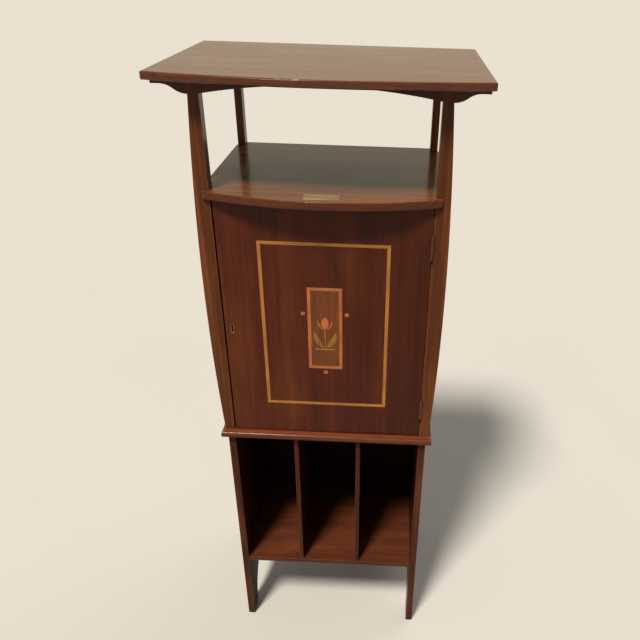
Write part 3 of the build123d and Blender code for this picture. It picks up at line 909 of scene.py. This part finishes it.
class CABINET_OT_lock(bpy.types.Operator):
    """Finish the lock, its keyhole rim and its strike plate, with their screws"""

    bl_idname = "cabinet.lock"
    bl_label = "Lock and strike"

    def execute(self, context):
        sizes = context.scene.cabinet_sizes
        metal = brass(context)
        softened("escutcheon", sizes.metal_arris, metal)
        softened("lock_case", sizes.metal_arris, metal)
        softened("strike_plate", sizes.metal_arris, metal)
        softened("lock_bolt", sizes.metal_arris, steel(context))
        screw = slotted_screw(sizes.hinge_screw * 0.85, sizes.hinge_screw * 0.5)
        low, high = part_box("lock_case")
        inset = 4.5 * MM
        top = high.y + sizes.head_rise
        columns, rows = (low.x + inset, high.x - inset), (low.z + inset, high.z - inset)
        corners = [Vector((x, top, z)) for x in columns for z in rows]
        fixings("lock_screws", screw, corners, (0, 1, 0), "door", metal)
        low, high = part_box("strike_plate")
        middle = (low.y + high.y) / 2
        ends = [Vector((high.x + sizes.head_rise, middle, z)) for z in (low.z + inset, high.z - inset)]
        fixings("strike_screws", screw, ends, (1, 0, 0), "carcass", metal)
        bpy.data.objects.remove(screw)
        return {"FINISHED"}


class CABINET_OT_rack(bpy.types.Operator):
    """Polish the waist board, the lower sides and the open rack between them"""

    bl_idname = "cabinet.rack"
    bl_label = "Waist and rack"

    def execute(self, context):
        sizes = context.scene.cabinet_sizes
        softened(
            "waist_board", sizes.arris, mahogany(context, "waist", "X", shift=1.0, figure=0.4, coat=0.15)
        )
        # painted shade: the lower sides' inner faces and the dividers' faces take the near-black lining
        # colour for the shade inside the rack
        inside = list(context.scene.cabinet_finish.lining_and_shade)
        upright = mahogany(context, "rack", "Z", shift=6.0, sheen=0.06, coat=0.08, side=inside)
        for node in ("lower_side_left", "lower_side_right"):
            softened(node, sizes.arris, upright, toned=towards_middle)
        for node in ("divider_left", "divider_right"):
            softened(node, sizes.thin_arris, upright, toned=either_side)
        softened("bottom_board", sizes.thin_arris, mahogany(context, "rack", "X", shift=8.0, figure=0.3))
        # painted shade: the rack's back is drawn near black for the shade at the back of the bays
        softened("rack_back", sizes.thin_arris, named_material("stained_board_z", stained_board, inside, "Z"))
        return {"FINISHED"}


class CABINET_OT_back(bpy.types.Operator):
    """Screw the two back boards to the case"""

    bl_idname = "cabinet.back"
    bl_label = "Back screws"

    def execute(self, context):
        radius = context.scene.cabinet_sizes.back_screw
        rise = context.scene.cabinet_sizes.back_head_rise
        screw = slotted_screw(radius, radius * 0.4)
        for node, rows in (("cupboard_back", 5), ("rack_back", 4)):
            low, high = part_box(node)
            inset = 9 * MM
            step = (high.z - low.z - 2 * inset) / (rows - 1)
            places = []
            for row in range(rows):
                for x in (low.x + inset, high.x - inset):
                    places.append(Vector((x, high.y + rise, low.z + inset + row * step)))
            fixings(node + "_screws", screw, places, (0, 1, 0), "carcass", steel(context))
        bpy.data.objects.remove(screw)
        return {"FINISHED"}


class CABINET_OT_stage(bpy.types.Operator):
    """Lay a pale floor, hang soft lamps and set the camera"""

    bl_idname = "cabinet.stage"
    bl_label = "Floor, lamps and camera"

    def floor(self, stage):
        """A plain pale floor, which bounces less light up than it shows to the eye."""
        bpy.ops.object.select_all(action="DESELECT")
        bpy.ops.mesh.primitive_plane_add(size=60, location=(0, 0, 0))
        ground = bpy.context.object
        ground.name = "stage_floor"
        material, tree, output = new_material("pale_matt_floor")
        path = add(tree, "ShaderNodeLightPath")
        seen = shows_to_eye(tree, path)
        coords = add(tree, "ShaderNodeTexCoord").outputs["Object"]
        cloud = add(tree, "ShaderNodeTexNoise", {"Scale": 1.5, "Detail": 2.0}, {"Vector": coords}).outputs[0]
        pale = list(stage.floor)
        shades = {COLOUR_A: opaque(graded(pale, BLACK, 0.04)), COLOUR_B: opaque(pale)}
        shown = add(tree, "ShaderNodeMix", shades, {0: cloud}, data_type="RGBA")
        dim = graded(pale, BLACK, 0.7)
        tone = add(
            tree,
            "ShaderNodeMix",
            {COLOUR_A: opaque(dim)},
            {0: seen, COLOUR_B: shown.outputs[COLOUR_OUT]},
            data_type="RGBA",
        )
        shader = add(tree, "ShaderNodeBsdfDiffuse", {}, {"Color": tone.outputs[COLOUR_OUT]})
        tree.links.new(shader.outputs[0], output.inputs["Surface"])
        paint(ground, material)

    def surroundings(self, stage):
        """Even light from all round, with pale surroundings where they are seen."""
        world = bpy.data.worlds.new("studio")
        bpy.context.scene.world = world
        world.use_nodes = True
        tree = world.node_tree
        tree.nodes.clear()
        path = add(tree, "ShaderNodeLightPath")
        seen = shows_to_eye(tree, path)
        light = add(tree, "ShaderNodeBackground", {"Color": (1, 0.98, 0.95, 1), "Strength": stage.ambient})
        wall = add(tree, "ShaderNodeBackground", {"Color": opaque(list(stage.wall)), "Strength": 1.0})
        pale = add(tree, "ShaderNodeBackground", {"Color": opaque(list(stage.floor)), "Strength": 1.0})
        both = add(tree, "ShaderNodeMixShader", {}, {0: seen, 1: light.outputs[0], 2: wall.outputs[0]})
        view = path.outputs["Is Camera Ray"]
        shown = add(tree, "ShaderNodeMixShader", {}, {0: view, 1: both.outputs[0], 2: pale.outputs[0]})
        add(tree, "ShaderNodeOutputWorld", {}, {"Surface": shown.outputs[0]})

    def lamps(self, stage):
        """A soft sun from the upper left in front, and a weak, very soft one behind on the right."""
        bpy.ops.object.light_add(type="SUN", location=(-2, -2, 4))
        key = bpy.context.object
        key.name = "key_light"
        across, rise = math.cos(stage.key_height), math.sin(stage.key_height)
        towards = Vector((math.sin(stage.key_side) * across, math.cos(stage.key_side) * across, -rise))
        key.rotation_euler = towards.to_track_quat("-Z", "Y").to_euler()
        key.data.energy = stage.key_strength
        key.data.angle = stage.key_softness
        key.data.color = (1.0, 0.97, 0.93)
        bpy.ops.object.light_add(type="SUN", location=(2, 2, 2))
        fill = bpy.context.object
        fill.name = "fill_light"
        across, rise = math.cos(stage.fill_height), math.sin(stage.fill_height)
        # it comes from behind on the right, and so heads left and forwards
        leftwards, forwards = -0.68, -0.73
        towards = Vector((leftwards * across, forwards * across, -rise))
        fill.rotation_euler = towards.to_track_quat("-Z", "Y").to_euler()
        fill.data.energy = stage.fill_strength
        fill.data.angle = stage.fill_softness
        fill.data.color = (0.95, 0.97, 1.0)

    def camera(self, stage):
        """The photograph's viewpoint, as solved from the cabinet's own corners."""
        yaw, pitch, roll = stage.camera_turn
        ahead = Vector((math.sin(yaw), math.cos(yaw), 0))
        right = Vector((math.cos(yaw), -math.sin(yaw), 0))
        rise = Vector((0, 0, 1))
        view = ahead * math.cos(pitch) + rise * math.sin(pitch)
        up = rise * math.cos(pitch) - ahead * math.sin(pitch)
        side = right * math.cos(roll) + up * math.sin(roll)
        up = up * math.cos(roll) - right * math.sin(roll)
        bpy.ops.object.camera_add(location=stage.camera_place)
        camera = bpy.context.object
        turn = Matrix((side, up, -view)).transposed().to_4x4()
        camera.matrix_world = Matrix.Translation(Vector(stage.camera_place)) @ turn
        camera.data.sensor_width = SENSOR
        camera.data.lens = stage.focal_pixels / PHOTO_PIXELS * SENSOR
        camera.data.shift_x = -(stage.centre_pixel[0] - PHOTO_PIXELS / 2) / PHOTO_PIXELS
        camera.data.shift_y = (stage.centre_pixel[1] - PHOTO_PIXELS / 2) / PHOTO_PIXELS
        camera.data.clip_start = 0.05
        camera.data.clip_end = 200
        bpy.context.scene.camera = camera

    def execute(self, context):
        stage = context.scene.cabinet_stage
        self.floor(stage)
        self.surroundings(stage)
        self.lamps(stage)
        self.camera(stage)
        context.scene.view_settings.view_transform = "Standard"
        return {"FINISHED"}


STEPS = (
    CABINET_OT_top,
    CABINET_OT_posts,
    CABINET_OT_shelf,
    CABINET_OT_cupboard,
    CABINET_OT_door,
    CABINET_OT_hinges,
    CABINET_OT_lock,
    CABINET_OT_rack,
    CABINET_OT_back,
    CABINET_OT_stage,
)


class CABINET_PT_panel(bpy.types.Panel):
    """Lists the cabinet's finishes and the steps that apply them"""

    bl_idname = "CABINET_PT_panel"
    bl_label = "Music Cabinet"
    bl_space_type = "VIEW_3D"
    bl_region_type = "UI"
    bl_category = "Cabinet"

    def draw(self, context):
        for group in (context.scene.cabinet_finish, context.scene.cabinet_sizes, context.scene.cabinet_stage):
            box = self.layout.box()
            for name in group.__annotations__:
                box.prop(group, name)
        for step in STEPS:
            self.layout.operator(step.bl_idname)


GROUPS = (CabinetFinish, CabinetSizes, CabinetStage)


def register():
    for kind in GROUPS + STEPS + (CABINET_PT_panel,):
        bpy.utils.register_class(kind)
    bpy.types.Scene.cabinet_finish = bpy.props.PointerProperty(type=CabinetFinish)
    bpy.types.Scene.cabinet_sizes = bpy.props.PointerProperty(type=CabinetSizes)
    bpy.types.Scene.cabinet_stage = bpy.props.PointerProperty(type=CabinetStage)


def unregister():
    del bpy.types.Scene.cabinet_stage
    del bpy.types.Scene.cabinet_sizes
    del bpy.types.Scene.cabinet_finish
    for kind in reversed(GROUPS + STEPS + (CABINET_PT_panel,)):
        bpy.utils.unregister_class(kind)


def main():
    register()
    bpy.ops.cabinet.top()
    bpy.ops.cabinet.posts()
    bpy.ops.cabinet.shelf()
    bpy.ops.cabinet.cupboard()
    bpy.ops.cabinet.door()
    bpy.ops.cabinet.hinges()
    bpy.ops.cabinet.lock()
    bpy.ops.cabinet.rack()
    bpy.ops.cabinet.back()
    bpy.ops.cabinet.stage()


if __name__ == "__main__":
    main()
